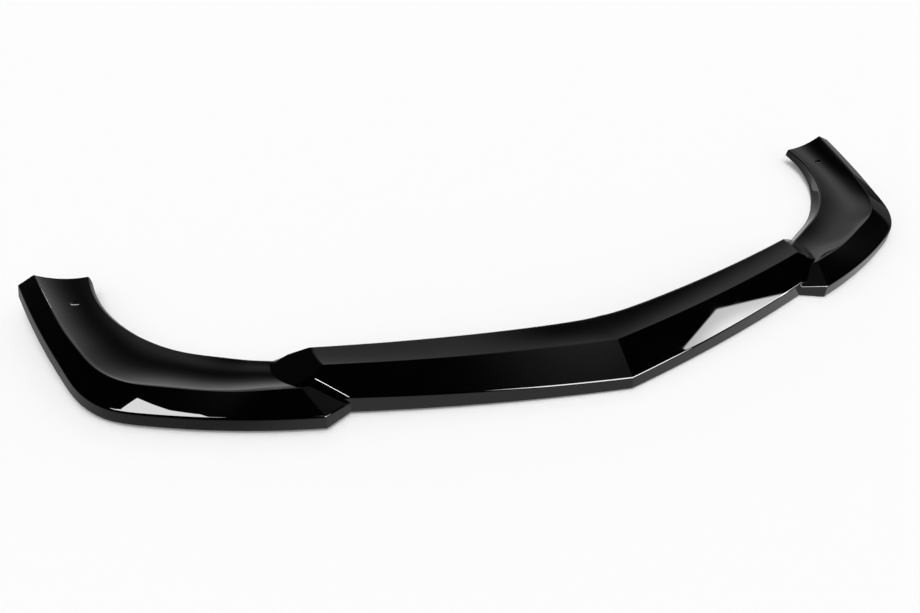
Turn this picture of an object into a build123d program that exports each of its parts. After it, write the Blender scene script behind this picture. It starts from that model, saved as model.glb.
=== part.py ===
"""Front splitter lip: one thin-walled moulding, open underneath, with a V nose and two swept wings."""
import os
from math import cos, radians, sin, sqrt, tan

from build123d import *

os.makedirs("parts", exist_ok=True)

# Shell
wall = 3.5
edge_round = 4.0
ridge_round = 6.0
back_round = 4.0
fin_round = 2.5
facet_round = 2.0

# Centre bar, from the nose out to the fins
nose_angle = 9.9
front_bow_radius = 3150.0
bar_end = 448.0
bar_overlap = 127.0
front_lean = 3.0
nose_front_height = 18.0
end_front_height = 27.0
nose_crease_depth = 57.0
end_crease_depth = 46.0
nose_crease_height = 52.0
end_crease_height = 55.0
nose_bar_depth = 111.0
end_bar_depth = 92.0
nose_back_height = 61.0
end_back_height = 53.0
back_bend = 40.0
band_sag = 1.5
flange_lean = 13.0

# Sloping end facet of the centre bar, and the short side wall under it, placed from the bar's end
facet_before_end = 9.0
facet_skew = 5.5
facet_slope = 26.0
side_before_end = 36.0
side_past_end = 7.0
side_top_depth = 29.0
side_out = 6.0
side_drop = 7.0

# Outer wall of the wing in plan, from the fin corner to the tip
fin_past_end = 4.0
fin_ahead = 30.3
wing_overlap = 60.0
wall_angle = 14.9
front_arc_radius = 1235.0
front_arc_turn = 13.0
corner_radius = 182.0
corner_turn = 37.8
side_arc_radius = 2560.0
side_arc_turn = 6.6

# Inner edge of the wing in plan, from behind the bar's end to the tip
inner_past_end = 60.0
inner_behind = 22.0
inner_overlap = 103.0
inner_angle = 28.4
inner_run = 104.0
inner_radius = 374.0
inner_turn = 54.6

# Section of the wing, which changes between the given shares of its length
wing_wall_height = 22.5
front_wall_lean = 1.0
side_wall_lean = 7.5
wall_leans = (0.42, 0.7)
front_face_width = 48.0
tip_face_width = 29.0
face_narrows = (0.38, 0.78)
front_ridge_rise = 7.5
side_ridge_rise = 13.0
ridge_grows = (0.33, 0.52)
inner_height = 20.0
cove_sag = 6.5
joint_lift = 7.5
joint_eases = (0.1, 0.26)
tip_lift = 24.0
tip_inner_rise = 11.0
tip_lifts_from = 0.5
tip_flange_lean = 3.0
flange_eases_from = 0.7
wing_sections = 13

# Lower rim, which leaves the ground along the wing and climbs to the tip
rim_lifts_from = 0.514
rim_heading = 28.0
rim_climb = 4.8

# Fin at the inner end of the wing
fin_run_x = 37.0
fin_run_y = 18.5
fin_dip = 4.5
fin_top_x = 25.0
fin_top_y = 57.0

# Dimpled screw hole, placed along the wing from its tip and across it from its inner edge
screw_from_tip = 98.2
screw_from_edge = 32.3
screw_hole = 6.0
sink_width = 13.0
sink_depth = 1.4

# Allowances that are trimmed away again: feet below the rim, and the trimming blocks
bar_skirt = 2 * wall
wing_skirt = 3 * wall
hollow_skirt = 6 * wall
reach = 8 * bar_end


def blend(span, value):
    """Smooth step of value from 0 at the span's start to 1 at its end."""
    start, end = span
    share = min(max((value - start) / (end - start), 0), 1)
    return share * share * (3 - 2 * share)


def ramp(start, value):
    """Straight ramp from 0 at start to 1 at 1."""
    return max(value - start, 0) / (1 - start)


def between(first, last, share):
    """Value a share of the way from the first to the last."""
    return first + (last - first) * share


def heading(degrees):
    """Level direction at an angle from +X."""
    return Vector(cos(radians(degrees)), sin(radians(degrees)))


def meet(a, b, c, d):
    """Point where the line through a and b meets the line through c and d."""
    u = b - a
    v = d - c
    w = c - a
    share = (w.X * v.Y - w.Y * v.X) / (u.X * v.Y - u.Y * v.X)
    return a + u * share


def inset(points, depth):
    """Section corners moved in by a wall thickness."""
    lines = []
    for a, b in zip(points[:-1], points[1:]):
        along = (b - a).normalized()
        shift = Vector(along.Y, -along.X) * depth
        lines.append((a + shift, b + shift))
    corners = [meet(*first, *second) for first, second in zip(lines[:-1], lines[1:])]
    return [lines[0][0]] + corners + [lines[-1][1]]


def carried(points, skirt):
    """Section corners with both feet carried on below the rim."""
    foot = points[0] - (points[1] - points[0]).normalized() * skirt
    heel = points[-1] + (points[-1] - points[-2]).normalized() * skirt
    return [foot] + points[1:-1] + [heel]


def profile(plane, points, sag, rounds):
    """Closed section on a plane: wall, sloping face, hollow top of a given sag, and back flange."""
    foot, top, ridge, back, heel = points
    across = (back - ridge).normalized()
    low = (ridge + back) / 2 + Vector(across.Y, -across.X) * sag
    face = make_face(
        [
            Line(foot, top),
            Line(top, ridge),
            ThreePointArc(ridge, low, back),
            Line(back, heel),
            Line(heel, foot),
        ]
    )
    for corner, radius in zip((top, ridge, back), rounds):
        nearest = face.vertices().sort_by_distance(corner)[0]
        face = fillet(nearest, radius)
    return plane * face


def corner_rounds(depth):
    """Radii of the section's corners: rounded on the outer skin, sharp inside the wall."""
    return () if depth else (edge_round, ridge_round, back_round)


def half_space(plane):
    """Large block on the positive side of a plane."""
    return plane * Box(reach, reach, reach, align=(Align.CENTER, Align.CENTER, Align.MIN))


def plane_through(a, b, c):
    """Plane through three points, facing up."""
    normal = (b - a).cross(c - a)
    if normal.Z < 0:
        normal = normal * -1
    return Plane(origin=a, x_dir=b - a, z_dir=normal)


def rounded(solid, places, radius):
    """Solid with the edges nearest the given places rounded."""
    edges = [solid.edges().sort_by_distance(place)[0] for place in places]
    return fillet(edges, radius)


def front_y(x):
    """Front edge of the centre bar in plan."""
    return x * tan(radians(nose_angle)) + x * x / (2 * front_bow_radius)


def bar_corners(x):
    """Corners of the bar's section, as depth behind its front edge and height."""
    share = x / bar_end
    soft = sqrt(x * x + back_bend * back_bend) - back_bend
    lag = (x - soft) * tan(radians(nose_angle)) * max(1 - share, 0)
    back_depth = between(nose_bar_depth, end_bar_depth, share) - lag
    return [
        Vector(0, 0),
        Vector(front_lean, between(nose_front_height, end_front_height, share)),
        Vector(
            between(nose_crease_depth, end_crease_depth, share),
            between(nose_crease_height, end_crease_height, share),
        ),
        Vector(back_depth, between(nose_back_height, end_back_height, share)),
        Vector(back_depth + flange_lean, 0),
    ]


def bar_section(x, depth):
    """Section of the centre bar at a distance from the nose and a depth inside its skin."""
    corners = carried(inset(bar_corners(x), depth), hollow_skirt if depth else bar_skirt)
    plane = Plane(origin=(x, front_y(x), 0), x_dir=(0, 1, 0), z_dir=(1, 0, 0))
    return profile(plane, corners, band_sag, corner_rounds(depth))


def face_point(x, inward):
    """Point on the sloping main face of the bar, a distance behind its front edge."""
    low, high = bar_corners(x)[1:3]
    height = between(low.Y, high.Y, (inward - low.X) / (high.X - low.X))
    return Vector(x, front_y(x) + inward, height)


def bar_solid(depth):
    """Centre bar on one side, cut by its end facet and its side wall."""
    shares = (0, 0.055, 0.165, 0.4, 0.74, 1)
    places = [bar_end * share for share in shares] + [bar_end + bar_overlap]
    bar = loft([bar_section(x, depth) for x in places])
    facet_x = bar_end - facet_before_end
    side_line = heading(90 - facet_skew)
    tilt = radians(facet_slope)
    facet = Plane(
        origin=face_point(facet_x, bar_corners(facet_x)[2].X),
        x_dir=side_line,
        z_dir=heading(-facet_skew) * sin(tilt) + Vector(0, 0, cos(tilt)),
    )
    front = face_point(bar_end - side_before_end, front_lean)
    top = face_point(bar_end + side_past_end, side_top_depth)
    along = top - front
    outward = Vector(along.Y, -along.X).normalized()
    side = plane_through(front, top, front + outward * side_out - Vector(0, 0, side_drop))
    bar = bar - half_space(facet.offset(-depth)) - half_space(side.offset(-depth))
    if depth:
        return bar
    return rounded(bar, ((front + top) / 2, (top + facet.origin) / 2), facet_round)


# Outer wall and inner edge of the wing
fin_x = bar_end + fin_past_end
fin_y = front_y(fin_x) - fin_ahead
wall_lead = PolarLine(Vector(fin_x, fin_y) - heading(wall_angle) * wing_overlap, wing_overlap, wall_angle)
wall_front = JernArc(wall_lead @ 1, wall_lead % 1, front_arc_radius, front_arc_turn)
wall_corner = JernArc(wall_front @ 1, wall_front % 1, corner_radius, corner_turn)
wall_side = JernArc(wall_corner @ 1, wall_corner % 1, side_arc_radius, side_arc_turn)
wall_path = Wire([wall_lead, wall_front, wall_corner, wall_side])

inner_start = Vector(bar_end + inner_past_end, front_y(bar_end) + end_bar_depth + inner_behind)
inner_lead = Line(
    inner_start - heading(inner_angle) * inner_overlap,
    inner_start + heading(inner_angle) * inner_run,
)
inner_sweep = JernArc(inner_lead @ 1, inner_lead % 1, inner_radius, inner_turn)
inner_path = Wire([inner_lead, inner_sweep])


def wing_section(share, depth):
    """Section of the wing at a share of its length and a depth inside its skin."""
    outer = wall_path @ share
    chord = (inner_path @ share) - outer
    lift = ramp(tip_lifts_from, share)
    joint = joint_lift * (1 - blend(joint_eases, share))
    top = wing_wall_height + tip_lift * lift
    lean = between(front_wall_lean, side_wall_lean, blend(wall_leans, share))
    width = between(front_face_width, tip_face_width, blend(face_narrows, share))
    rise = between(front_ridge_rise, side_ridge_rise, blend(ridge_grows, share))
    flange = between(flange_lean, tip_flange_lean, ramp(flange_eases_from, share))
    corners = [
        Vector(-lean * top / wing_wall_height, 0),
        Vector(0, top),
        Vector(width, top + rise + joint),
        Vector(chord.length, inner_height + joint + tip_inner_rise * lift),
        Vector(chord.length + flange, 0),
    ]
    corners = carried(inset(corners, depth), hollow_skirt if depth else wing_skirt)
    plane = Plane(origin=outer, x_dir=chord, z_dir=chord.cross(Vector(0, 0, 1)))
    return profile(plane, corners, cove_sag, corner_rounds(depth))


def wing_solid(depth):
    """Wing on one side, its inner end cut to the slanting fin."""
    shares = [index / (wing_sections - 1) for index in range(wing_sections)]
    wing = loft([wing_section(share, depth) for share in shares])
    corner = Vector(fin_x, fin_y, wing_wall_height)
    low = corner + Vector(-fin_run_x, fin_run_y, -fin_dip)
    back = corner + Vector(fin_top_x, fin_top_y, front_ridge_rise + joint_lift)
    top = plane_through(corner, low, back)
    slant = Plane(origin=corner, x_dir=(-fin_run_x, fin_run_y, 0), z_dir=(-fin_run_y, -fin_run_x, 0))
    wing = wing - half_space(top.offset(-depth)) - half_space(slant.offset(-depth))
    if depth:
        return wing
    upright = Vector(fin_x, fin_y, wing_wall_height / 2)
    return rounded(wing, ((corner + low) / 2, (corner + back) / 2, upright), fin_round)


def with_screw_hole(shell):
    """Shell with the dimpled screw hole near the tip of its wing."""
    share = 1 - screw_from_tip / wall_path.length
    inner = inner_path @ share
    place = inner + ((wall_path @ share) - inner).normalized() * screw_from_edge
    hits = shell.find_intersection_points(Axis(place, (0, 0, 1)))
    seat, facing = max(hits, key=lambda hit: hit[0].Z)
    hole = Cylinder(screw_hole / 2, seat.Z * 2)
    dimple = Cone(screw_hole / 2, sink_width - screw_hole / 2, sink_depth * 2)
    return shell - Pos(seat) * hole - Plane(origin=seat, z_dir=facing) * dimple


climb = radians(rim_climb)
floor = Plane(origin=(0, 0, 0), z_dir=(0, 0, -1))
rim = Plane(
    origin=wall_path @ rim_lifts_from,
    z_dir=heading(rim_heading) * sin(climb) - Vector(0, 0, cos(climb)),
)

half = bar_solid(0) + wing_solid(0)
half = half - bar_solid(wall) - wing_solid(wall)
half = half - half_space(floor) - half_space(rim)
half = with_screw_hole(half)

lip = half + mirror(half, about=Plane.YZ)
box = lip.bounding_box()
lip = Pos(0, -(box.min.Y + box.max.Y) / 2, -box.min.Z) * lip
lip.label = "splitter_lip"
export_step(lip, "parts/splitter_lip.step")
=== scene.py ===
"""Front splitter lip in gloss black plastic, on a white studio floor."""
import logging
from dataclasses import dataclass, field
from enum import Enum
from math import cos, pi, radians, sin, tan
from typing import Sequence, Union

import bmesh
import bpy
import numpy as np
from mathutils import Matrix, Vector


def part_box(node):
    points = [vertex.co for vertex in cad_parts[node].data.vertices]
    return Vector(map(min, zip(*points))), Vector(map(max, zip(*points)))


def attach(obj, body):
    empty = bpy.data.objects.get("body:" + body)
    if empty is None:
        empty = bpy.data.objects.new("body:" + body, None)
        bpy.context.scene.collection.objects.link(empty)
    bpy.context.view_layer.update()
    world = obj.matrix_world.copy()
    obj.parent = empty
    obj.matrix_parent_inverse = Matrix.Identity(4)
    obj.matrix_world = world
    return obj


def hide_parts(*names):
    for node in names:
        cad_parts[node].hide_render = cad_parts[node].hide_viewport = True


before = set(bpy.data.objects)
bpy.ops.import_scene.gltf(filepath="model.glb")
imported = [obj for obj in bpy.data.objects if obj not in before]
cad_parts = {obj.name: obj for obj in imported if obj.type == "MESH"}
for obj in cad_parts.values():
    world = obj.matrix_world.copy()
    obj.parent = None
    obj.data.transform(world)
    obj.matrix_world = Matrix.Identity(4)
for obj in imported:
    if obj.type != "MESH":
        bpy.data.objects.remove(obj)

log = logging.getLogger("splitter_lip")

MM = 0.001
UP = (0.0, 0.0, 1.0)
NODE = "splitter_lip"
COLOUR_A, COLOUR_B, COLOUR_RESULT = 6, 7, 2  # places of a Mix node's colour sockets

Link = Union["Term", float, bool, str, Sequence[float], bpy.types.ID, list]


class Side(Enum):
    """Which side of the wall a body follows."""

    SKIN = "skin"
    HOLLOW = "hollow"


class Term:
    """One output of a node, with the operators that shader maths needs."""

    def __init__(self, sheet: "NodeSheet", socket: bpy.types.NodeSocket) -> None:
        """Keeps the sheet and the socket."""
        self.sheet = sheet
        self.socket = socket

    def maths(self, operation: str, first: Link, second: Link) -> "Term":
        """Result of a Math node on two values or links."""
        return self.sheet.term("ShaderNodeMath", {"operation": operation}, {0: first, 1: second})

    def __add__(self, other: Link) -> "Term":
        """Sum."""
        return self.maths("ADD", self, other)

    def __radd__(self, other: Link) -> "Term":
        """Sum, reflected."""
        return self.maths("ADD", other, self)

    def __sub__(self, other: Link) -> "Term":
        """Difference."""
        return self.maths("SUBTRACT", self, other)

    def __rsub__(self, other: Link) -> "Term":
        """Difference, reflected."""
        return self.maths("SUBTRACT", other, self)

    def __mul__(self, other: Link) -> "Term":
        """Product."""
        return self.maths("MULTIPLY", self, other)

    def __rmul__(self, other: Link) -> "Term":
        """Product, reflected."""
        return self.maths("MULTIPLY", other, self)

    def __truediv__(self, other: Link) -> "Term":
        """Quotient."""
        return self.maths("DIVIDE", self, other)

    def __rtruediv__(self, other: Link) -> "Term":
        """Quotient, reflected."""
        return self.maths("DIVIDE", other, self)

    def __gt__(self, other: Link) -> "Term":
        """1 where this is greater, else 0."""
        return self.maths("GREATER_THAN", self, other)

    def most(self, other: Link) -> "Term":
        """The greater of the two."""
        return self.maths("MAXIMUM", self, other)

    def exponent(self) -> "Term":
        """e to the power of this."""
        return self.maths("EXPONENT", self, 0.0)

    def dot(self, axis: Sequence[float]) -> "Term":
        """Share of a vector along an axis."""
        settings, sockets = {"operation": "DOT_PRODUCT"}, {0: self, 1: plain(axis)}
        return self.sheet.term("ShaderNodeVectorMath", settings, sockets, "Value")

    def step(self, start: float, end: float) -> "Term":
        """Smooth step from 0 at start to 1 at end."""
        if end > start:
            return self.sheet.term(
                "ShaderNodeMapRange",
                {"interpolation_type": "SMOOTHSTEP"},
                {"Value": self, "From Min": start, "From Max": end},
            )
        return 1 - self.step(end, start)


class NodeSheet:
    """A node tree that is written as Python."""

    def __init__(self, tree: bpy.types.NodeTree) -> None:
        """Keeps the tree and empties it."""
        self.tree = tree
        tree.nodes.clear()

    def feed(self, socket: bpy.types.NodeSocket, value: Link) -> None:
        """Links a socket, or sets its value."""
        if isinstance(value, Term):
            self.tree.links.new(value.socket, socket)
        elif isinstance(value, list):
            for part in value:
                self.feed(socket, part)
        else:
            socket.default_value = value

    def node(
        self,
        kind: str,
        settings: dict[str, object] | None = None,
        sockets: dict[str | int, Link] | None = None,
    ) -> bpy.types.Node:
        """Adds any node.

        Args:
            kind: the node's type.
            settings: its own settings, set before its sockets.
            sockets: values or links by a socket's name or place.

        Returns:
            The node.
        """
        node = self.tree.nodes.new(kind)
        for name, value in (settings or {}).items():
            setattr(node, name, value)
        for key, value in (sockets or {}).items():
            self.feed(node.inputs[key], value)
        return node

    def term(
        self,
        kind: str,
        settings: dict[str, object] | None = None,
        sockets: dict[str | int, Link] | None = None,
        output: str | int = 0,
    ) -> Term:
        """One output, by its name or place, of a node that is added as node() does."""
        return Term(self, self.node(kind, settings, sockets).outputs[output])

    def rays(self) -> tuple[Term, Term]:
        """1 on rays from the camera, and 1 on rays from the gloss, else 0."""
        outputs = self.node("ShaderNodeLightPath").outputs
        return Term(self, outputs["Is Camera Ray"]), Term(self, outputs["Is Glossy Ray"])

    def mixed(self, factor: Link, first: Link, second: Link) -> Term:
        """Mix of two colours, where the factor is the share of the second."""
        sockets = {0: factor, COLOUR_A: first, COLOUR_B: second}
        return self.term("ShaderNodeMix", {"data_type": "RGBA"}, sockets, COLOUR_RESULT)


def plain(vector: Sequence[float]) -> tuple[float, ...]:
    """A vector as plain numbers."""
    return tuple(map(float, vector))


def opaque(colour: Sequence[float]) -> tuple[float, ...]:
    """A colour with full alpha."""
    return (*colour, 1.0)


def blank_material(name: str) -> tuple[bpy.types.Material, NodeSheet]:
    """New material, and its empty node tree."""
    material = bpy.data.materials.new(name)
    material.use_nodes = True
    return material, NodeSheet(material.node_tree)


def mesh_of(shape: bmesh.types.BMesh, name: str) -> bpy.types.Mesh:
    """New mesh from a shape, which is freed."""
    mesh = bpy.data.meshes.new(name)
    shape.to_mesh(mesh)
    shape.free()
    return mesh


def placed(name: str, data: bpy.types.ID) -> bpy.types.Object:
    """New object at the origin, in the scene."""
    thing = bpy.data.objects.new(name, data)
    bpy.context.scene.collection.objects.link(thing)
    return thing


def smooth_step(span: Sequence[float], value: np.ndarray) -> np.ndarray:
    """Smooth step from 0 at the span's start to 1 at its end."""
    share = np.clip((value - span[0]) / (span[1] - span[0]), 0, 1)
    return share * share * (3 - 2 * share)


def ramp(start: float, value: np.ndarray) -> np.ndarray:
    """Straight ramp from 0 at start to 1 at 1."""
    return np.maximum(value - start, 0) / (1 - start)


def between(first: float, last: float, share: np.ndarray) -> np.ndarray:
    """Value a share of the way from the first to the last."""
    return first + (last - first) * share


def heading(degrees: float) -> np.ndarray:
    """Level direction at an angle from +X."""
    return np.array((cos(radians(degrees)), sin(radians(degrees))))


def unit(vectors: np.ndarray) -> np.ndarray:
    """Vectors at length 1."""
    return vectors / np.linalg.norm(vectors, axis=-1, keepdims=True)


def turned_to(vector: np.ndarray, way: Sequence[float]) -> np.ndarray:
    """The vector, turned round unless it points along a way."""
    return vector if vector @ way > 0 else -vector


def joined(*runs: np.ndarray) -> np.ndarray:
    """Runs of points, one after another in each section."""
    return np.concatenate(runs, axis=1)


def eased(cuts: int, crowd: float = 0.9) -> np.ndarray:
    """Shares from 0 to 1 that crowd towards both ends."""
    even = np.linspace(0, 1, cuts + 1)
    return even - crowd * np.sin(even * 2 * np.pi) / (2 * np.pi)


def section_corners(*pairs: tuple[np.ndarray | float, np.ndarray | float]) -> np.ndarray:
    """Sections by corner by (depth, height), from each corner's depths and heights."""
    values = np.broadcast_arrays(*(value for pair in pairs for value in pair))
    return np.stack(values, axis=-1).reshape(-1, len(pairs), 2)


def spline_through(values: np.ndarray, shares: np.ndarray) -> np.ndarray:
    """Natural cubic spline through evenly spaced rows.

    Args:
        values: rows that the spline passes through, from share 0 to share 1.
        shares: where it is read.

    Returns:
        One row for each share.
    """
    count = len(values)
    system = np.eye(count) * 4 + np.eye(count, k=1) + np.eye(count, k=-1)
    system[0] = system[-1] = 0
    system[0, 0] = system[-1, -1] = 1
    rate = np.zeros_like(values)
    rate[1:-1] = 6 * (values[2:] - 2 * values[1:-1] + values[:-2])
    bend = np.linalg.solve(system, rate)
    place = np.clip(shares, 0, 1) * (count - 1)
    index = np.minimum(place.astype(int), count - 2)
    after = (place - index)[:, None]
    before = 1 - after
    start, end = values[index], values[index + 1]
    return (
        before * start
        + after * end
        + ((before**3 - before) * bend[index] + (after**3 - after) * bend[index + 1]) / 6
    )


@dataclass(frozen=True)
class CutPlane:
    """A plane that trims a body; its normal points to the side that goes."""

    origin: np.ndarray
    normal: np.ndarray

    @classmethod
    def through(cls, a: np.ndarray, b: np.ndarray, c: np.ndarray) -> "CutPlane":
        """Plane through three points, facing up."""
        return cls(a, turned_to(unit(np.cross(b - a, c - a)), UP))

    def over(self, points: np.ndarray, depth: float) -> np.ndarray:
        """Height of points over the plane, after it is moved in by a depth."""
        return (points - self.origin) @ self.normal + depth


@dataclass(frozen=True)
class Wedge:
    """Two planes that trim the end of a body, with the edge between them rounded.

    Lines that run on along the second plane lean towards the edge by up to an angle. Lines within
    a share of the greatest distance count as being at the edge.
    """

    first: CutPlane
    second: CutPlane
    rounding: float
    lean: float
    near: float = 0.02

    def along(self) -> np.ndarray:
        """Direction of the edge where the planes meet."""
        return unit(np.cross(self.first.normal, self.second.normal))

    def over(self, points: np.ndarray, depth: float) -> np.ndarray:
        """How far points stand outside the wedge.

        Args:
            points: places to measure.
            depth: how far the planes are moved in.

        Returns:
            Distances, negative inside.
        """
        first = self.first.over(points, depth)
        second = self.second.over(points, depth)
        if depth:
            return np.maximum(first, second)
        one = first + self.rounding
        two = second + self.rounding
        corner = np.hypot(np.maximum(one, 0), np.maximum(two, 0))
        return np.minimum(np.maximum(one, two), 0) + corner - self.rounding

    def onward(self, ends: np.ndarray, along: np.ndarray) -> np.ndarray:
        """Directions in which lines run on from their cut ends.

        Args:
            ends: cut ends of neighbouring lines.
            along: direction of the wedge's edge, away from the body.

        Returns:
            One direction for each line.
        """
        first, second = self.first, self.second
        inward = turned_to(unit(np.cross(second.normal, along)), first.normal)
        edge = np.linalg.solve(
            np.stack((first.normal, second.normal, along)),
            np.array((first.normal @ first.origin, second.normal @ second.origin, 0.0)),
        )
        away = np.maximum((edge - ends) @ inward, 0)
        far = int(np.argmax(away))
        near = np.flatnonzero(away < away[far] * self.near)
        side = 1 if len(near) and near.mean() < far else -1
        order = np.arange(len(ends))[::side]
        reached = np.empty(len(ends))
        reached[order] = np.maximum.accumulate(away[order])
        turn = radians(self.lean) * reached / away[far]
        return np.cos(turn)[:, None] * along + np.sin(turn)[:, None] * inward


@dataclass(frozen=True)
class Section:
    """Five-cornered section: wall, sloping face, hollow top and back flange."""

    wall: float = 3.5 * MM
    edge_round: float = 4 * MM
    ridge_round: float = 2.5 * MM
    back_round: float = 4 * MM
    lip_reach: float = 4.5 * MM
    skirt: float = 10.5 * MM
    hollow_skirt: float = 21 * MM
    hollow_past: float = 1 * MM
    hollow_bend: float = 0.2 * MM
    spacing: float = 1 * MM
    skin_cuts: tuple[int, ...] = (5, 9, 14, 9, 26, 11, 6)
    hollow_cuts: tuple[int, ...] = (3, 4, 12, 3)

    def depth(self, side: Side) -> float:
        """Depth of a side of the wall under the skin."""
        return self.wall if side is Side.HOLLOW else 0.0

    def inset(self, corners: np.ndarray, depth: float) -> np.ndarray:
        """Corners moved in by a depth.

        Args:
            corners: sections by corner by (depth, height).
            depth: how far the outline moves in.

        Returns:
            The moved corners.
        """
        runs = np.diff(corners, axis=1)
        along = unit(runs)
        shift = np.stack((along[..., 1], -along[..., 0]), axis=-1) * depth
        starts = corners[:, :-1] + shift
        gap = starts[:, 1:] - starts[:, :-1]
        u, v = along[:, :-1], along[:, 1:]
        share = (gap[..., 0] * v[..., 1] - gap[..., 1] * v[..., 0]) / (
            u[..., 0] * v[..., 1] - u[..., 1] * v[..., 0]
        )
        inner = starts[:, :-1] + u * share[..., None]
        return joined(starts[:, :1], inner, corners[:, -1:] + shift[:, -1:])

    def carried(self, corners: np.ndarray, skirt: float) -> np.ndarray:
        """Corners with both feet carried on below the rim."""
        result = corners.copy()
        result[:, 0] -= unit(corners[:, 1] - corners[:, 0]) * skirt
        result[:, -1] += unit(corners[:, -1] - corners[:, -2]) * skirt
        return result

    def outline(
        self, corners: np.ndarray, sag: float, side: Side, lip: np.ndarray | float = 0.0
    ) -> np.ndarray:
        """Traces sections from foot to heel.

        Args:
            corners: sections by corner by (depth, height), as designed.
            sag: how far the top hollows out below its chord.
            side: skin, with rounded corners, or hollow, with sharp ones.
            lip: how much steeper the top starts beside the ridge, in each section.

        Returns:
            Sections by point by (depth, height).
        """
        depth = self.depth(side)
        moved = self.inset(corners, depth) if depth else corners
        skirt = self.hollow_skirt if depth else self.skirt
        foot, top, ridge, back, heel = np.moveaxis(self.carried(moved, skirt), 1, 0)
        across = unit(back - ridge)
        down = np.stack((across[:, 1], -across[:, 0]), axis=-1)
        half = np.linalg.norm(back - ridge, axis=-1) / 2
        radius = (half * half + sag * sag) / (2 * sag)
        turn = np.arcsin(half / radius)
        lip = np.broadcast_to(lip, turn.shape)
        centre = (ridge + back) / 2 + down * (sag - radius)[:, None]

        def hollow(angle: np.ndarray) -> np.ndarray:
            """Points of the hollow top at angles from its middle."""
            swing = down[:, None] * np.cos(angle)[..., None]
            swing = swing + across[:, None] * np.sin(angle)[..., None]
            away = (angle + turn[:, None]) * radius[:, None]
            dip = lip[:, None] * away * np.exp(-away / self.lip_reach)
            return centre[:, None] + swing * (radius[:, None] + dip)[..., None]

        into = across * np.cos(turn + lip)[:, None] + down * np.sin(turn + lip)[:, None]
        out_of = across * np.cos(turn)[:, None] - down * np.sin(turn)[:, None]
        if side is Side.HOLLOW:
            wall, face, top_cuts, flange = self.hollow_cuts
            shares = np.linspace(-1, 1, top_cuts + 1)
            return joined(
                self.straight(foot, top, wall)[:, :-1],
                self.straight(top, ridge, face)[:, :-1],
                hollow(turn[:, None] * shares)[:, :-1],
                self.straight(back, heel, flange),
            )
        wall, edge, face, crest, top_cuts, rear, flange = self.skin_cuts
        up, over, away = unit(top - foot), unit(ridge - top), unit(heel - back)
        edge_arc, _ = self.rounded(top, up, over, self.edge_round, edge)
        crest_arc, crest_reach = self.rounded(ridge, over, into, self.ridge_round, crest)
        rear_arc, rear_reach = self.rounded(back, out_of, away, self.back_round, rear)
        start = -turn + crest_reach / radius
        end = turn - rear_reach / radius
        shares = eased(top_cuts)[1:-1]
        angles = start[:, None] + (end - start)[:, None] * shares
        return joined(
            self.straight(foot, edge_arc[:, 0], wall)[:, :-1],
            edge_arc[:, :-1],
            self.straight(edge_arc[:, -1], crest_arc[:, 0], face)[:, :-1],
            crest_arc,
            hollow(angles),
            rear_arc[:, :-1],
            self.straight(rear_arc[:, -1], heel, flange),
        )

    @staticmethod
    def straight(first: np.ndarray, last: np.ndarray, cuts: int) -> np.ndarray:
        """Straight runs between two rows of points, crowded towards both ends."""
        shares = eased(cuts)[None, :, None]
        return first[:, None] * (1 - shares) + last[:, None] * shares

    @staticmethod
    def rounded(
        corner: np.ndarray, before: np.ndarray, after: np.ndarray, radius: float, cuts: int
    ) -> tuple[np.ndarray, np.ndarray]:
        """Arcs that round a corner.

        Args:
            corner: corner points.
            before: directions into the corner.
            after: directions out of it.
            radius: radius of the arc.
            cuts: number of steps.

        Returns:
            The arcs' points, and how far from the corner they start.
        """
        turn = np.arccos(np.clip(np.sum(before * after, axis=-1), -1, 1))
        reach = radius * np.tan(turn / 2)
        inward = unit(after - before * np.cos(turn)[:, None])
        angle = turn[:, None] * np.linspace(0, 1, cuts + 1)
        start = corner - before * reach[:, None]
        arc = before[:, None] * np.sin(angle)[..., None]
        arc = arc + inward[:, None] * (1 - np.cos(angle))[..., None]
        return start[:, None] + arc * radius, reach


@dataclass(frozen=True)
class PlanPath:
    """Line in plan: a straight run, then arcs that turn to the left."""

    start: np.ndarray
    angle: float
    run: float
    arcs: tuple[tuple[float, float], ...]

    def length(self) -> float:
        """Whole length of the line."""
        return self.run + sum(radius * radians(turn) for radius, turn in self.arcs)

    def at(self, shares: np.ndarray) -> np.ndarray:
        """Points at shares of the length.

        Args:
            shares: where the line is read.

        Returns:
            Points in plan.
        """
        distance = np.asarray(shares) * self.length()
        points = self.start + np.minimum(distance, self.run)[:, None] * heading(self.angle)
        left, angle = distance - self.run, radians(self.angle)
        for radius, turn in self.arcs:
            swing = angle + np.clip(left / radius, 0, radians(turn))
            step = np.stack((np.sin(swing) - sin(angle), cos(angle) - np.cos(swing)), axis=-1)
            points = points + step * radius
            left, angle = left - radius * radians(turn), angle + radians(turn)
        return points


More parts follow.
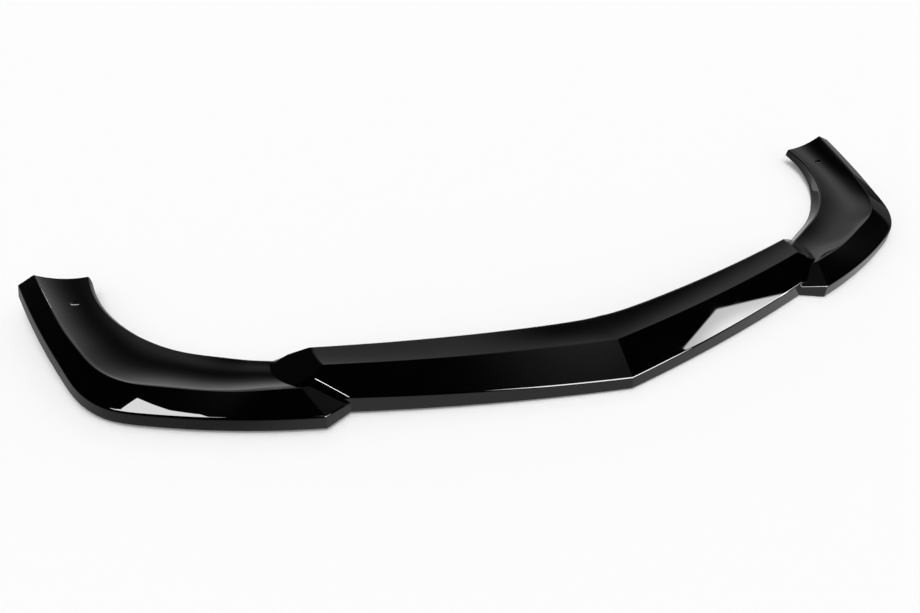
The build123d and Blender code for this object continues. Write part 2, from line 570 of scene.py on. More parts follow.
@dataclass(frozen=True)
class Body:
    """Closed body made of lines that run along it, their ends trimmed to a wedge."""

    rows: np.ndarray

    @classmethod
    def trimmed(
        cls,
        lines: np.ndarray,
        shares: np.ndarray,
        wedge: Wedge,
        depth: float,
        cap: CutPlane,
        bend: float,
        least: float = 6.25 * MM,
        spare: float = 25 * MM,
        hold: float = 0.7 * MM,
        bend_cuts: int = 8,
        tail_cuts: int = 7,
    ) -> "Body":
        """Trims lines by a wedge, and runs them on along the wedge's edge to a cap.

        Args:
            lines: points by row, line and axis, from the whole end to the trimmed end.
            shares: where rows are read, as shares of each line's trimmed length.
            wedge: the planes at the trimmed end.
            depth: how far the planes are moved in.
            cap: plane that closes the trimmed end.
            bend: distance over which a line bends into the wedge.
            least: least length left from a cut to the cap; with less, the line stays whole.
            spare: distance from a whole line's end to its rows in place of the bend.
            hold: distance from the bend to the rows that keep its neighbours flat.
            bend_cuts: steps in the bend.
            tail_cuts: steps from the bend to the cap.

        Returns:
            The body.
        """
        along = turned_to(wedge.along(), cap.normal)
        over = wedge.over(lines, depth)
        steps = np.linalg.norm(np.diff(lines, axis=0), axis=-1)
        travel = np.concatenate((np.zeros((1, lines.shape[1])), np.cumsum(steps, axis=0)))

        def at(line: int, distances: np.ndarray) -> np.ndarray:
            """Points of a line at distances along it."""
            way = travel[:, line]
            axes = [np.interp(distances, way, values) for values in lines[:, line].T]
            return np.stack(axes, axis=-1)

        stops = travel[-1].copy()
        for line in range(lines.shape[1]):
            out = np.flatnonzero(over[:, line] > 0)
            if len(out):
                last = out[0]
                low, high = over[last - 1, line], over[last, line]
                stops[line] = travel[last - 1, line] + steps[last - 1, line] * low / (low - high)
        ends = np.stack([at(line, stops[line]) for line in range(lines.shape[1])])
        onward = wedge.onward(ends, along)
        lengths = -cap.over(ends, 0) / (onward @ cap.normal)
        rows = []
        for line, (stop, end, way, left) in enumerate(zip(stops, ends, onward, lengths)):
            if left > least:
                turn = np.linspace(0, 1, bend_cuts + 1)[1:, None]
                start = at(line, stop - bend)
                bent = start * (1 - turn) ** 2 + 2 * end * turn * (1 - turn)
                bent = bent + (end + way * bend) * turn**2
                tail = np.linspace(bend + hold, left, tail_cuts)[:, None]
                rest = np.concatenate((bent, end + way * tail))
            else:
                stop = travel[-1, line] - spare
                bent = at(line, stop + np.linspace(-bend, bend, bend_cuts + 1)[1:])
                tail = np.linspace(stop + bend + hold, travel[-1, line], tail_cuts)
                rest = np.concatenate((bent, at(line, tail)))
            flat = at(line, np.append(shares * (stop - bend - hold), stop - bend))
            rows.append(np.concatenate((flat, rest)))
        return cls(np.stack(rows, axis=1))

    def mesh(self, name: str) -> bpy.types.Mesh:
        """Closed mesh of the body, its faces outwards.

        Args:
            name: name of the mesh.

        Returns:
            The mesh.
        """
        shape = bmesh.new()
        verts = [[shape.verts.new(point) for point in row] for row in self.rows]
        for row, above in zip(verts, verts[1:]):
            for line in range(len(row)):
                after = (line + 1) % len(row)
                shape.faces.new((row[line], row[after], above[after], above[line]))
        shape.faces.new(verts[0])
        shape.faces.new(verts[-1])
        bmesh.ops.recalc_face_normals(shape, faces=shape.faces)
        return mesh_of(shape, name)


@dataclass(frozen=True)
class CentreBar:
    """Right half of the centre bar: V nose, main face, band behind it and end facet."""

    section: Section
    nose_angle: float = 9.9
    bow_radius: float = 3150 * MM
    end: float = 448 * MM
    overlap: float = 77 * MM
    front_lean: float = 3 * MM
    front_height: tuple[float, float] = (18 * MM, 27 * MM)
    crease_depth: tuple[float, float] = (57 * MM, 46 * MM)
    crease_height: tuple[float, float] = (52 * MM, 55 * MM)
    depth: tuple[float, float] = (111 * MM, 92 * MM)
    back_height: tuple[float, float] = (61 * MM, 53 * MM)
    back_bend: float = 40 * MM
    band_sag: float = 1.5 * MM
    flange_lean: float = 13 * MM
    facet_before_end: float = 9 * MM
    facet_skew: float = 5.5
    facet_slope: float = 26.0
    side_before_end: float = 36 * MM
    side_past_end: float = 7 * MM
    side_top_depth: float = 29 * MM
    side_out: float = 6.0
    side_drop: float = 7.0
    facet_round: float = 2 * MM
    end_bend: float = 2.2 * MM
    side_lean: float = 17.0
    spare: float = 6 * MM
    rows: tuple[int, int] = (24, 64)
    rows_meet: float = 0.14
    hollow_rows: int = 60

    def front_y(self, x: np.ndarray) -> np.ndarray:
        """Front edge in plan, behind the nose."""
        return x * tan(radians(self.nose_angle)) + x * x / (2 * self.bow_radius)

    def corners(self, x: np.ndarray) -> np.ndarray:
        """Corners of the sections at distances from the nose, as (depth, height)."""
        share = x / self.end
        soft = np.sqrt(x * x + self.back_bend**2) - self.back_bend
        lag = (x - soft) * tan(radians(self.nose_angle)) * np.maximum(1 - share, 0)
        back = between(*self.depth, share) - lag
        return section_corners(
            (0, 0),
            (self.front_lean, between(*self.front_height, share)),
            (between(*self.crease_depth, share), between(*self.crease_height, share)),
            (back, between(*self.back_height, share)),
            (back + self.flange_lean, 0),
        )

    def face_point(self, x: float, inward: float) -> np.ndarray:
        """Point on the main face, a distance behind the front edge."""
        low, high = self.corners(np.array([x]))[0, 1:3]
        height = np.interp(inward, (low[0], high[0]), (low[1], high[1]))
        return np.array((x, self.front_y(x) + inward, height))

    def wedge(self) -> Wedge:
        """The end facet and the short side wall under it."""
        facet_x = self.end - self.facet_before_end
        tilt = radians(self.facet_slope)
        outward = heading(-self.facet_skew) * sin(tilt)
        crease = self.corners(np.array([facet_x]))[0, 2]
        facet = CutPlane(self.face_point(facet_x, crease[0]), np.array((*outward, cos(tilt))))
        front = self.face_point(self.end - self.side_before_end, self.front_lean)
        top = self.face_point(self.end + self.side_past_end, self.side_top_depth)
        along = top - front
        out = unit(np.array((along[1], -along[0], 0.0)))
        below = front + out * self.side_out - np.array((0, 0, self.side_drop))
        side = CutPlane.through(front, top, below)
        return Wedge(facet, side, self.facet_round, self.side_lean)

    def body(self, side: Side) -> Body:
        """The bar's skin or its hollow, from just past the nose to inside the wing.

        Args:
            side: skin or hollow.

        Returns:
            The closed body.
        """
        depth = self.section.depth(side)
        more = self.section.hollow_past if depth else 0.0
        reach = self.end + self.overlap + more
        x = np.arange(-self.spare - more, reach, self.section.spacing)
        outline = self.section.outline(self.corners(x), self.band_sag, side)
        lines = np.stack(
            (
                np.broadcast_to(x[:, None], outline.shape[:2]),
                self.front_y(x)[:, None] + outline[..., 0],
                outline[..., 1],
            ),
            axis=-1,
        )
        (near, far), meet = self.rows, self.rows_meet
        shares = np.concatenate(
            (np.linspace(0, meet, near, endpoint=False), np.linspace(meet, 1, far))
        )
        if depth:
            shares = np.linspace(0, 1, self.hollow_rows)
        cap = CutPlane(np.array((reach, 0, 0)), np.array((1.0, 0, 0)))
        bend = self.section.hollow_bend if depth else self.end_bend
        return Body.trimmed(lines, shares, self.wedge(), depth, cap, bend)


@dataclass(frozen=True)
class Wing:
    """Swept wing on the right side, from the slanting fin to the open tip."""

    section: Section
    bar: CentreBar
    fin_past_end: float = 4 * MM
    fin_ahead: float = 30.3 * MM
    overlap: float = 60 * MM
    wall_angle: float = 14.9
    wall_arcs: tuple[tuple[float, float], ...] = (
        (1235 * MM, 13.0),
        (182 * MM, 37.8),
        (2560 * MM, 6.6),
    )
    inner_past_end: float = 60 * MM
    inner_behind: float = 22 * MM
    inner_overlap: float = 103 * MM
    inner_angle: float = 28.4
    inner_run: float = 104 * MM
    inner_arcs: tuple[tuple[float, float], ...] = ((374 * MM, 54.6),)
    wall_height: float = 22.5 * MM
    wall_lean: tuple[float, float] = (1 * MM, 7.5 * MM)
    wall_leans: tuple[float, float] = (0.42, 0.7)
    face_width: tuple[float, float] = (48 * MM, 29 * MM)
    face_narrows: tuple[float, float] = (0.38, 0.78)
    ridge_rise: tuple[float, float] = (7.5 * MM, 13 * MM)
    ridge_grows: tuple[float, float] = (0.33, 0.52)
    inner_height: float = 20 * MM
    cove_sag: float = 6.5 * MM
    lip: float = 0.2
    lip_grows: tuple[float, float] = (0.15, 0.3)
    joint_lift: float = 7.5 * MM
    joint_eases: tuple[float, float] = (0.1, 0.26)
    tip_lift: float = 24 * MM
    tip_inner_rise: float = 11 * MM
    tip_lifts_from: float = 0.5
    tip_flange_lean: float = 3 * MM
    flange_eases_from: float = 0.7
    stations: int = 13
    fin_run: tuple[float, float] = (-37 * MM, 18.5 * MM)
    fin_dip: float = 4.5 * MM
    fin_top: tuple[float, float] = (25 * MM, 57 * MM)
    fin_round: float = 2.5 * MM
    fin_bend: float = 1.4 * MM
    fin_lean: float = 32.0
    rows: int = 190
    hollow_rows: int = 80
    hollow_past_tip: float = 5 * MM

    def fin_corner(self) -> np.ndarray:
        """Front corner of the fin, at the top of the wall."""
        x = self.bar.end + self.fin_past_end
        return np.array((x, self.bar.front_y(x) - self.fin_ahead, self.wall_height))

    def wall_path(self) -> PlanPath:
        """Outer wall in plan."""
        start = self.fin_corner()[:2] - heading(self.wall_angle) * self.overlap
        return PlanPath(start, self.wall_angle, self.overlap, self.wall_arcs)

    def inner_path(self) -> PlanPath:
        """Inner edge in plan."""
        bar = self.bar
        back = bar.front_y(bar.end) + bar.depth[1]
        place = np.array((bar.end + self.inner_past_end, back + self.inner_behind))
        start = place - heading(self.inner_angle) * self.inner_overlap
        run = self.inner_overlap + self.inner_run
        return PlanPath(start, self.inner_angle, run, self.inner_arcs)

    def sections(self, shares: np.ndarray) -> tuple[np.ndarray, np.ndarray, np.ndarray]:
        """Sections along the wing.

        Args:
            shares: where the wing is read, from the fin to the tip.

        Returns:
            Places of the outer wall, directions across, and corners as (depth, height).
        """
        at = np.linspace(0, 1, self.stations)
        outer, inner = self.wall_path().at(at), self.inner_path().at(at)
        lift = ramp(self.tip_lifts_from, at)
        joint = self.joint_lift * (1 - smooth_step(self.joint_eases, at))
        top = self.wall_height + self.tip_lift * lift
        lean = between(*self.wall_lean, smooth_step(self.wall_leans, at))
        lean = lean * top / self.wall_height
        width = between(*self.face_width, smooth_step(self.face_narrows, at))
        ridge = top + between(*self.ridge_rise, smooth_step(self.ridge_grows, at)) + joint
        back = self.inner_height + joint + self.tip_inner_rise * lift
        eases = ramp(self.flange_eases_from, at)
        flange = between(self.bar.flange_lean, self.tip_flange_lean, eases)
        sizes = np.stack((lean, top, width, ridge, back, flange), axis=-1)
        values = spline_through(np.concatenate((outer, inner, sizes), axis=-1), shares)
        outer, chord = values[:, :2], values[:, 2:4] - values[:, :2]
        lean, top, width, ridge, back, flange = values[:, 4:].T
        span = np.linalg.norm(chord, axis=-1)
        corners = section_corners(
            (-lean, 0), (0, top), (width, ridge), (span, back), (span + flange, 0)
        )
        return outer, unit(chord), corners

    def lines(self, shares: np.ndarray, side: Side) -> np.ndarray:
        """Points of the skin or the hollow, by share, line and axis."""
        outer, across, corners = self.sections(shares)
        lip = self.lip * smooth_step(self.lip_grows, shares) if side is Side.SKIN else 0.0
        outline = self.section.outline(corners, self.cove_sag, side, lip)
        plan = outer[:, None] + across[:, None] * outline[..., :1]
        return np.concatenate((plan, outline[..., 1:]), axis=-1)

    def wedge(self) -> Wedge:
        """The fin's top and its slanting wall."""
        corner = self.fin_corner()
        low = corner + np.array((*self.fin_run, -self.fin_dip))
        back = corner + np.array((*self.fin_top, self.ridge_rise[0] + self.joint_lift))
        slant = unit(np.array((-self.fin_run[1], self.fin_run[0], 0.0)))
        top = CutPlane.through(corner, low, back)
        return Wedge(CutPlane(corner, slant), top, self.fin_round, self.fin_lean)

    def body(self, side: Side) -> Body:
        """The wing's skin or its hollow, from the tip to inside the bar.

        Args:
            side: skin or hollow.

        Returns:
            The closed body.
        """
        depth = self.section.depth(side)
        cuts = round(self.wall_path().length() / self.section.spacing)
        lines = self.lines(np.linspace(1, 0, cuts + 1), side)
        outer, across, _ = self.sections(np.array([0.0]))
        inward = turned_to(np.array((-across[0, 1], across[0, 0], 0.0)), (-1.0, 0.0, 0.0))
        more = self.section.hollow_past if depth else 0.0
        if depth:
            past = unit(lines[0] - lines[1]).mean(axis=0) * self.hollow_past_tip
            over = lines[-1] + inward * more
            lines = np.concatenate(((lines[0] + past)[None], lines, over[None]))
        cap = CutPlane(np.array((*outer[0], 0.0)) + inward * more, inward)
        count = self.hollow_rows if depth else self.rows
        bend = self.section.hollow_bend if depth else self.fin_bend
        shares = np.linspace(0, 1, count)
        return Body.trimmed(lines, shares, self.wedge(), depth, cap, bend)


@dataclass(frozen=True)
class ScrewHole:
    """Dimpled screw hole near the tip of the wing."""

    wing: Wing
    from_tip: float = 98.2 * MM
    from_edge: float = 32.3 * MM
    width: float = 6 * MM
    sink_width: float = 13 * MM
    sink_depth: float = 1.4 * MM
    probe: tuple[float, float] = (0.002, 1 * MM)

    def seat(self) -> tuple[np.ndarray, np.ndarray]:
        """Where the hole meets the skin, and which way the skin faces there."""
        wing = self.wing
        along, aside = self.probe
        share = 1 - self.from_tip / wing.wall_path().length()
        outer, across, corners = wing.sections(share + np.array((-along, 0, along)))
        outline = wing.section.outline(corners, wing.cove_sag, Side.SKIN)

        def point(row: int, shift: float) -> np.ndarray:
            """Point of one section at the hole's distance from the inner edge and a shift."""
            depth = corners[row, 3, 0] - self.from_edge + shift
            height = np.interp(depth, outline[row, :, 0], outline[row, :, 1])
            return np.array((*(outer[row] + across[row] * depth), height))

        middle = point(1, 0)
        facing = unit(np.cross(point(2, 0) - point(0, 0), point(1, aside) - middle))
        return middle, turned_to(facing, UP)


@dataclass(frozen=True)
class GlossBlack:
    """Gloss black moulded plastic, satin on the unseen inside."""

    colour: tuple[float, float, float] = (0.0005, 0.0005, 0.0006)
    haze_colour: tuple[float, float, float] = (0.0010, 0.0010, 0.0011)
    roughness: float = 0.012
    haze: float = 0.012
    haze_span: tuple[float, float] = (0.45, 0.75)
    haze_detail: float = 4.0
    satin: float = 0.42
    ior: float = 1.5
    wave_length: float = 45 * MM
    wave_height: float = 0.0004 * MM
    peel_length: float = 2.2 * MM
    peel_height: float = 0.0001 * MM
    grain_length: float = 0.8 * MM
    grain_height: float = 0.02 * MM
    grain_detail: float = 3.0

    def material(self) -> bpy.types.Material:
        """Builds the material.

        Returns:
            The material.
        """
        material, sheet = blank_material("gloss_black")
        place = sheet.term("ShaderNodeTexCoord", output="Object")
        inside = sheet.term("ShaderNodeAttribute", {"attribute_name": "inside"}, output="Fac")

        def noise(length: float, detail: float = 1.0) -> Term:
            """Noise whose features are about a length across."""
            values = {"Vector": place, "Scale": 1 / length, "Detail": detail}
            return sheet.term("ShaderNodeTexNoise", None, values)

        haze = noise(self.wave_length, self.haze_detail).step(*self.haze_span)
        grain = noise(self.grain_length, self.grain_detail)
        wave = noise(self.wave_length) * self.wave_height
        skin = wave + noise(self.peel_length) * self.peel_height
        height = skin + grain * inside * self.grain_height
        values = {"Strength": 1.0, "Distance": 1.0, "Height": height}
        bump = sheet.term("ShaderNodeBump", None, values)
        gloss = self.roughness + haze * self.haze
        shader = sheet.term(
            "ShaderNodeBsdfPrincipled",
            None,
            {
                "Base Color": sheet.mixed(haze, opaque(self.colour), opaque(self.haze_colour)),
                "Roughness": gloss + inside * (self.satin - self.roughness),
                "IOR": self.ior,
                "Normal": bump,
            },
        )
        sheet.node("ShaderNodeOutputMaterial", None, {"Surface": shader})
        return material


@dataclass(frozen=True)
class WhiteFloor:
    """White studio floor that keeps the soft shadow under the object; in the gloss it glows with a
    painted reflection, brighter near the middle than out to the sides.
    """

    colour: tuple[float, float, float] = (0.975, 0.975, 0.975)
    glow: float = 0.1
    in_gloss: tuple[float, float] = (0.66, 0.27)
    lit_middle: float = 0.08
    lit_reach: tuple[float, float] = (0.5, 0.7)
    half_size: float = 40.0
    below: float = 3 * MM
    slope: float = 0.0035

    def build(self) -> bpy.types.Object:
        """Makes the floor.

        Returns:
            The floor, marked as stage.
        """
        shape = bmesh.new()
        bmesh.ops.create_grid(shape, x_segments=2, y_segments=2, size=self.half_size)
        for corner in shape.verts:
            corner.co.z = corner.co.x * self.slope - self.below
        floor = placed("floor", mesh_of(shape, "floor"))
        material, sheet = blank_material("white_floor")
        camera, gloss = sheet.rays()
        matt = sheet.term("ShaderNodeBsdfDiffuse", None, {"Color": opaque(self.colour)})
        white = sheet.term("ShaderNodeEmission", None, {"Strength": 1.0})
        # Painted reflection: rays from the gloss see the floor glow, at the lit strength near the
        # middle and the dim strength further out to the sides, in place of the light and shade on
        # it.
        lit, dim = (
            sheet.term("ShaderNodeEmission", None, {"Strength": light}) for light in self.in_gloss
        )
        aside = sheet.term("ShaderNodeTexCoord", output="Object").dot((1, 0, 0)) - self.lit_middle
        far = aside.most(aside * -1).step(*self.lit_reach)

        def blend(share: Term, first: Term, second: Term) -> Term:
            """Mix of two shaders."""
            return sheet.term("ShaderNodeMixShader", None, {0: share, 1: first, 2: second})

        shown = blend(gloss, blend(camera * self.glow, matt, white), blend(far, lit, dim))
        sheet.node("ShaderNodeOutputMaterial", None, {"Surface": shown})
        floor.data.materials.append(material)
        return floor


def toward(azimuth: float, elevation: float) -> np.ndarray:
    """Direction at an azimuth from the front, to the right, and an elevation, in degrees."""
    level = heading(azimuth - 90) * cos(radians(elevation))
    return np.array((*level, sin(radians(elevation))))


@dataclass(frozen=True)
class Softbox:
    """Bright panel far off in the studio, seen in the gloss.

    Its corners go round as (azimuth, elevation).
    """

    corners: tuple[tuple[float, float], ...]
    strength: float
    rim: float = 0.5
    rim_width: float = 0.035
    edge: float = 0.0015

    def glow(self, direction: Term) -> Term:
        """Light that a ray meets, dimmer towards the panel's rim.

        Args:
            direction: the ray's direction.

        Returns:
            Its brightness.
        """
        places = [toward(*corner) for corner in self.corners]
        middle = sum(places)
        panel: Link = self.strength
        core: Link = 1 - self.rim
        for first, second in zip(places, places[1:] + places[:1]):
            inward = unit(np.cross(first, second))
            depth = direction.dot(turned_to(inward, middle))
            panel = depth.step(-self.edge, self.edge) * panel
            core = depth.step(0.0, self.rim_width) * core
        return panel * (core + self.rim)


@dataclass(frozen=True)
class Glow:
    """Soft light on a wall of the studio, brightest at its middle."""

    azimuth: float
    elevation: float
    width: float
    height: float
    strength: float
    fall: float = 1.5

    def glow(self, direction: Term) -> Term:
        """Light that a ray meets.

        Args:
            direction: the ray's direction.

        Returns:
            Its brightness.
        """
        ahead = toward(self.azimuth, self.elevation)
        side = toward(self.azimuth + 90, 0)
        across = direction.dot(side / self.width)
        up = direction.dot(np.cross(side, ahead) / self.height)
        fade = ((across * across + up * up) * -self.fall).exponent()
        return fade * (direction.dot(ahead) > 0.0) * self.strength


@dataclass(frozen=True)
class Panel:
    """Small shaped lamp near the lip, seen only in the gloss.

    It stands at a distance in a direction from a place on the lip, in millimetres and degrees. Its
    outline is one or more convex shapes, whose corners go round as (right, down). Its light may
    fade out between two places to the right, and may be kept to a cone.
    """

    name: str
    place: tuple[float, float, float]
    azimuth: float
    elevation: float
    distance: float
    strength: float
    shapes: tuple[tuple[tuple[float, float], ...], ...]
    fade: tuple[float, float] | None = None
    cone: float = 180.0

    def axes(self) -> np.ndarray:
        """Directions to the right, down and ahead, as rows."""
        ahead = toward(self.azimuth, self.elevation)
        right = toward(self.azimuth + 90, 0)
        return np.stack((right, np.cross(right, ahead), ahead))

    def at(self, across: float, down: float) -> np.ndarray:
        """Place on the panel, in metres."""
        return (np.array(self.place) + np.array((across, down, self.distance)) @ self.axes()) * MM

    def gain(self) -> float:
        """How much brighter the lamp is along its axis when its light is kept to the cone."""
        half = radians(self.cone) / 2
        return tan(half) / (tan(half) - half) if self.cone < 180 else 1.0

    def inside(self, place: Term, shape: tuple[tuple[float, float], ...]) -> Term:
        """Finds which places of the lamp are in a shape.

        Args:
            place: a place on the lamp.
            shape: corners of a convex shape.

        Returns:
            1 inside the shape, else 0.
        """
        middle = np.mean(shape, axis=0)
        result: Link = 1.0
        for first, second in zip(shape, shape[1:] + shape[:1]):
            along = np.subtract(second, first)
            inward = turned_to(np.array((along[1], -along[0])), middle - first)
            axis = unit(inward @ self.axes()[:2])
            result = (place.dot(axis) > float(axis @ self.at(*first))) * result
        return result

    def build(self) -> bpy.types.Object:
        """Makes the lamp.

        Returns:
            The lamp.
        """
        right, down, ahead = self.axes()
        corners = np.concatenate(self.shapes)
        low, high = corners.min(axis=0), corners.max(axis=0)
        width, height = plain((high - low) * MM)
        data = bpy.data.lights.new(self.name, "AREA")
        data.shape = "RECTANGLE"
        data.size, data.size_y = width, height
        data.spread = radians(self.cone)
        data.energy = self.strength * pi * width * height / self.gain()
        data.use_nodes = True
        sheet = NodeSheet(data.node_tree)
        place = sheet.term("ShaderNodeNewGeometry", output="Position")
        lit: Link = 0.0
        for shape in self.shapes:
            lit = self.inside(place, shape) + lit
        if self.fade:
            start, end = (float(right @ self.at(across, 0)) for across in self.fade)
            lit = lit * (1 - place.dot(right).step(start, end))
        light = sheet.term("ShaderNodeEmission", None, {"Strength": lit})
        sheet.node("ShaderNodeOutputLight", None, {"Surface": light})
        lamp = placed(self.name, data)
        turned = np.eye(4)
        turned[:3] = np.stack((right, -down, ahead, self.at(*(low + high) / 2)), axis=-1)
        lamp.matrix_world = Matrix(turned.tolist())
        lamp.visible_camera = lamp.visible_diffuse = False
        return lamp


@dataclass
class Studio:
    """White floor, dark room with glows on its walls, bright panels and an overhead light."""

    floor: WhiteFloor = field(default_factory=WhiteFloor)
    softboxes: tuple[Softbox, ...] = (
        Softbox(((68.6, 41.4), (74.7, 38.1), (79.3, 30.2), (76, 20), (68.6, 20)), 17.6, 0.6),
        Softbox(((3, 60), (28, 60), (64.5, 40.5), (55, 19), (3, 25)), 24.0, 0.6),
        Softbox(((102, 9), (116, 9.5), (116, 20), (102, 22)), 0.176, 1.0, edge=0.02),
    )
    panels: tuple[Panel, ...] = (
        Panel(
            "wing_panel", (-696.8, -85.8, 25.9), -142, 57, 150, 15.0,
            (
                ((47, 37), (34.5, 22.3), (20, -40), (75, 25)),
                ((34.5, 22.3), (1.2, 6.2), (20, -40)),
                ((1.2, 6.2), (-28.2, -36.7), (20, -40)),
                ((-28.2, -36.7), (-60, -72.2), (-60, -105), (20, -40)),
                ((-60, -72.2), (-80, -112), (-60, -105)),
            ),
        ),
        Panel(
            "band_panel", (-293.1, -138.7, 53.5), 165, 47, 300, 0.45,
            (((225, -25), (225, 130), (0, 85), (-300, 20), (-300, -95), (60, -48)),),
            fade=(-40, -300),
        ),
        Panel(
            "bar_panel", (-433.5, -157.0, 35.2), -44, 49, 105, 46.0,
            (((40, -7), (36, 9), (-42, 0), (-42, -17)),), cone=54.0,
        ),
        Panel(
            "fin_panel", (433.5, -188.3, 20.2), -3, 45, 40, 22.0,
            (((25, 0), (22, 13), (-27, 8), (-23, -14)),),
        ),
        Panel(
            "hole_panel", (-803.0, 206.0, 32.0), 178, 6, 200, 10.0,
            (((-25, -10), (90, -10), (90, 14), (-25, 14)),),
        ),
    )
    glows: tuple[Glow, ...] = (
        Glow(158.0, 20.0, 0.18, 0.3, 0.16),
        Glow(178.7, 2.5, 0.55, 0.35, 1.072),
        Glow(197.0, 45.0, 0.18, 0.16, 0.32),
        Glow(142.0, 38.9, 0.19, 0.26, 0.536),
        Glow(133.7, 8.1, 0.26, 0.63, 0.336),
        Glow(68.9, 68.1, 0.3, 0.19, 0.688),
        Glow(150.1, 15.0, 0.22, 0.09, 0.464),
    )
    room: float = 0.0016
    fill: float = 0.544
    sun: float = 0.46
    sun_spread: float = 50.0

    def world(self) -> None:
        """Lights the world: white to the camera, the studio in the gloss, else an even fill."""
        world = bpy.data.worlds.new("studio")
        bpy.context.scene.world = world
        world.use_nodes = True
        sheet = NodeSheet(world.node_tree)
        camera, gloss = sheet.rays()
        direction = sheet.term("ShaderNodeTexCoord", output="Generated")
        seen: Link = self.room
        for softbox in self.softboxes:
            seen = softbox.glow(direction).most(seen)
        for glow in self.glows:
            seen = glow.glow(direction) + seen
        strength = camera + (1 - camera) * (gloss * seen + (1 - gloss) * self.fill)
        values = {"Color": opaque((1, 1, 1)), "Strength": strength}
        light = sheet.term("ShaderNodeBackground", None, values)
        sheet.node("ShaderNodeOutputWorld", None, {"Surface": light})

    def lamp(self) -> None:
        """Adds the soft light from above, which throws the shadow on the floor."""
        data = bpy.data.lights.new("overhead", "SUN")
        data.energy = self.sun * pi
        data.angle = radians(self.sun_spread)
        placed("overhead", data).visible_glossy = False

    def build(self) -> None:
        """Makes the floor, the world and the lamps."""
        self.floor.build()
        self.world()
        self.lamp()
        for panel in self.panels:
            panel.build()
        log.info("studio: floor, world, overhead lamp and %d panels", len(self.panels))


@dataclass(frozen=True)
class Viewpoint:
    """Camera at the photograph's viewing angle."""

    place: tuple[float, float, float] = (-0.4816, -0.82853, 0.69303)
    azimuth: float = -20.088
    elevation: float = 38.097
    focal_pixels: float = 630.58
    image_width: int = 920
    sensor: float = 36.0
    nearest: float = 0.01

    def build(self) -> None:
        """Makes the camera and gives it to the scene."""
        data = bpy.data.cameras.new("camera")
        data.sensor_fit = "HORIZONTAL"
        data.sensor_width = self.sensor
        data.lens = self.sensor * self.focal_pixels / self.image_width
        data.clip_start = self.nearest
        camera = placed("camera", data)
        camera.location = self.place
        camera.rotation_euler = (radians(90 - self.elevation), 0.0, radians(self.azimuth))
        bpy.context.scene.camera = camera


@dataclass(frozen=True)
class Rim:
    """Lower rim, which leaves the ground along the wing and climbs to the tip."""

    lifts_from: float = 0.514
    heading: float = 28.0
    climb: float = 4.8

    def down(self) -> tuple[float, ...]:
        """Direction out of the rim's plane, away from the lip."""
        climb = radians(self.climb)
        return plain((*heading(self.heading) * sin(climb), -cos(climb)))


